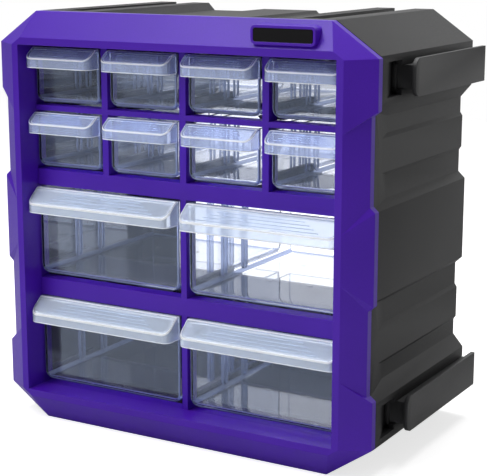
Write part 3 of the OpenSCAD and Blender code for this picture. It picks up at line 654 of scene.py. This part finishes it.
# Divider slots: U-shaped ribs on both side walls, where a divider can stand.
slot_tree = bpy.data.node_groups.new("divider_slots", "GeometryNodeTree")
slot_tree.interface.new_socket(name="Rib", in_out="INPUT", socket_type="NodeSocketGeometry")
sizes = named_inputs(slot_tree, Count="Int", Pitch="Float")
step = add(slot_tree, "ShaderNodeCombineXYZ", {"Y": sizes["Pitch"]})
spots = add(slot_tree, "GeometryNodeMeshLine", {"Count": sizes["Count"],
                                                "Offset": step.outputs[0]})
ribs = add(slot_tree, "GeometryNodeInstanceOnPoints", {"Points": spots.outputs[0],
                                                       "Instance": sizes["Rib"]})
solid = add(slot_tree, "GeometryNodeRealizeInstances", {"Geometry": ribs.outputs[0]})
other = add(slot_tree, "GeometryNodeTransform", {"Geometry": solid.outputs[0],
                                                 "Scale": (-1, 1, 1)})
turned = add(slot_tree, "GeometryNodeFlipFaces", {"Mesh": other.outputs[0]})
pair = add(slot_tree, "GeometryNodeJoinGeometry")
slot_tree.links.new(solid.outputs[0], pair.inputs[0])
slot_tree.links.new(turned.outputs[0], pair.inputs[0])
# The ribs take the tray's pale edge copy, with its painted highlight.
close_tree(slot_tree, pair.outputs[0], tray_edge_painted_highlight)

# Ejector marks: the faint discs that the mould's pins leave on a bin's floor.
mark_tree = bpy.data.node_groups.new("ejector_marks", "GeometryNodeTree")
sizes = named_inputs(mark_tree, Across="Int", Deep="Int", Width="Float", Depth="Float",
                     Radius="Float", Height="Float", Centre="Vector")
field = add(mark_tree, "GeometryNodeMeshGrid", {
    "Size X": sizes["Width"], "Size Y": sizes["Depth"], "Vertices X": sizes["Across"],
    "Vertices Y": sizes["Deep"]})
disc = add(mark_tree, "GeometryNodeMeshCylinder", {"Vertices": 20,
                                                   "Radius": sizes["Radius"],
                                                   "Depth": sizes["Height"]})
discs = add(mark_tree, "GeometryNodeInstanceOnPoints", {"Points": field.outputs[0],
                                                        "Instance": disc.outputs[0]})
moved = add(mark_tree, "GeometryNodeTransform", {"Geometry": discs.outputs[0],
                                                 "Translation": sizes["Centre"]})
close_tree(mark_tree, moved.outputs[0], tray_clear)

RIB_HALVES, RIB_HEAD, RIB_FOOT = (0.0029, 0.0015), 0.005, 0.0062
RIB_GAP, RIB_EDGE = 0.00002, 0.0003


def slot_rib(width, height, centre, stand):
    """One U-shaped rib on the right wall: two uprights joined by a round foot."""
    shape = bmesh.new()
    middle, high, low = FRONT_Y + centre, height - RIB_HEAD, RIB_FOOT
    ends = width / 2 - BIN_WALL - RIB_GAP, width / 2 - BIN_WALL - stand
    lines = []
    for half in RIB_HALVES:
        lines.append([(middle - half, high)]
                     + [(middle - half * math.cos(math.pi * i / 12),
                         low - half * math.sin(math.pi * i / 12)) for i in range(13)]
                     + [(middle + half, high)])
    outline = lines[0] + lines[1][::-1]
    loops = [[shape.verts.new((x, y, z)) for y, z in outline] for x in ends]
    count, half = len(outline), len(lines[0])
    for i in range(count):
        j = (i + 1) % count
        shape.faces.new((loops[0][i], loops[0][j], loops[1][j], loops[1][i]))
    for loop in loops:
        for i in range(half - 1):
            shape.faces.new((loop[i], loop[i + 1], loop[count - 2 - i], loop[count - 1 - i]))
    bmesh.ops.recalc_face_normals(shape, faces=shape.faces)
    corners = [e for e in shape.edges
               if e.calc_face_angle() > math.radians(60)
               and max(v.co.x for v in e.verts) < ends[0] - stand / 2]
    bmesh.ops.bevel(shape, geom=corners, offset=RIB_EDGE, segments=2, profile=0.5,
                    affect="EDGES", clamp_overlap=True)
    mesh = bpy.data.meshes.new("slot_rib")
    shape.to_mesh(mesh)
    shape.free()
    return mesh


RIDGE_COUNT, RIDGE_FIRST, RIDGE_RADIUS, RIDGE_SINK = 4, 0.0034, 0.00045, 0.00025
MARK_ROWS, MARK_RUN, MARK_CENTRE = 3, 0.092, 0.067
MARK_RADIUS, MARK_HEIGHT, MARK_RAISE = 0.0021, 0.0002, 0.00013
LEVEL_ENOUGH = 0.93


def add_mesh(shape, mesh, slot=None):
    """Adds a mesh to a shape; its faces keep their material slots or take the given one."""
    start = len(shape.faces)
    shape.from_mesh(mesh)
    shape.faces.ensure_lookup_table()
    if slot is not None:
        for face in shape.faces[start:]:
            face.material_index = slot


def bin_mesh(name, hazed, width, height, front, drop, turn, pitch, end, taper, edge, slots,
             marks):
    """Whole bin over its own centre line: clear tray, hazed grip, painted highlight on edges
    and ribs.
    """
    tilt = math.atan(drop / (GRID_DEPTH - GRIP_FLAT - front))
    shape = bmesh.new()
    tray(shape, width, height)
    shape.normal_update()
    # Faces that are neither level nor upright, the rounded foot and corners, take the pale
    # copy: a painted highlight.
    for face in shape.faces:
        flat = max(abs(axis) for axis in face.normal) > LEVEL_ENOUGH
        face.material_index = CLEAR if flat else PALE_PAINTED_HIGHLIGHT
    centre, spacing, stand = slots
    ribs = grown(name + "_slots", slot_tree, slot_rib(width, height, centre, stand),
                 {"Count": 2, "Pitch": spacing})
    add_mesh(shape, ribs, PALE_PAINTED_HIGHLIGHT)
    add_mesh(shape, grip(width, height, front, drop, turn, edge))
    ridges = grown(name + "_ridges", ridge_tree, bpy.data.meshes.new("start"),
                   {"Count": RIDGE_COUNT, "First": RIDGE_FIRST, "Pitch": pitch,
                    "Length": width - 2 * end, "Taper": 2 * taper, "Radius": RIDGE_RADIUS,
                    "Tilt": tilt})
    ridges.transform(Matrix.Translation((0, FRONT_Y + front, height - drop - RIDGE_SINK)))
    add_mesh(shape, ridges, HAZED)
    across, spacing, shift = marks
    pins = grown(name + "_marks", mark_tree, bpy.data.meshes.new("start"),
                 {"Across": across, "Deep": MARK_ROWS, "Width": spacing * (across - 1),
                  "Depth": MARK_RUN, "Radius": MARK_RADIUS, "Height": MARK_HEIGHT,
                  "Centre": (shift, FRONT_Y + MARK_CENTRE, BIN_WALL + MARK_RAISE)})
    add_mesh(shape, pins, CLEAR)
    for face in shape.faces:
        face.smooth = True
    mesh = bpy.data.meshes.new(name)
    shape.to_mesh(mesh)
    shape.free()
    mesh.set_sharp_from_angle(angle=math.radians(28))
    for material in (tray_clear, hazed, grip_edge_painted_highlight, tray_edge_painted_highlight):
        mesh.materials.append(material)
    carrier = bpy.data.objects.new(name, mesh)
    bpy.context.scene.collection.objects.link(carrier)
    mesh = level_faces(carrier).data
    bpy.data.objects.remove(carrier)
    return mesh


small_mesh = bin_mesh("small_bin", grip_hazed, **SMALL)
# The large bins take the whiter grip copy with its painted light.
large_mesh = bin_mesh("large_bin", grip_painted_light, **LARGE)
SEATS = {1: 0.2089, 2: 0.1674, 3: 0.0962, 4: 0.0234}
SMALL_COLUMNS = (-0.0861, -0.0287, 0.0287, 0.0861)
LARGE_COLUMNS = (-BAY_STEP / 2, BAY_STEP / 2)
for row, seat_z in SEATS.items():
    small = row < 3
    for column, x in enumerate(SMALL_COLUMNS if small else LARGE_COLUMNS, 1):
        node = f"bin_r{row}c{column}"
        mesh = (small_mesh if small else large_mesh).copy()
        mesh.transform(Matrix.Translation((x, 0, seat_z)))
        one = bpy.data.objects.new(node + "_moulding", mesh)
        bpy.context.scene.collection.objects.link(one)
        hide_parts(node)
        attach(one, node + "_body")

# Joining clips: double-T strips of black polypropylene, slid into the channels of the
# right side to couple the next cabinet.
clip_black = moulded_plastic("clip_polypropylene_black", "#262628", "#303032",
                             roughness=0.48, grain_mm=0.6, depth=0.3)
CLIP_EDGE = 0.0004
for level in ("upper", "lower"):
    place_piece(soften(solid_copy("joining_clip_" + level, "clip_" + level), CLIP_EDGE),
                clip_black, "joining_clip_" + level, "cabinet")
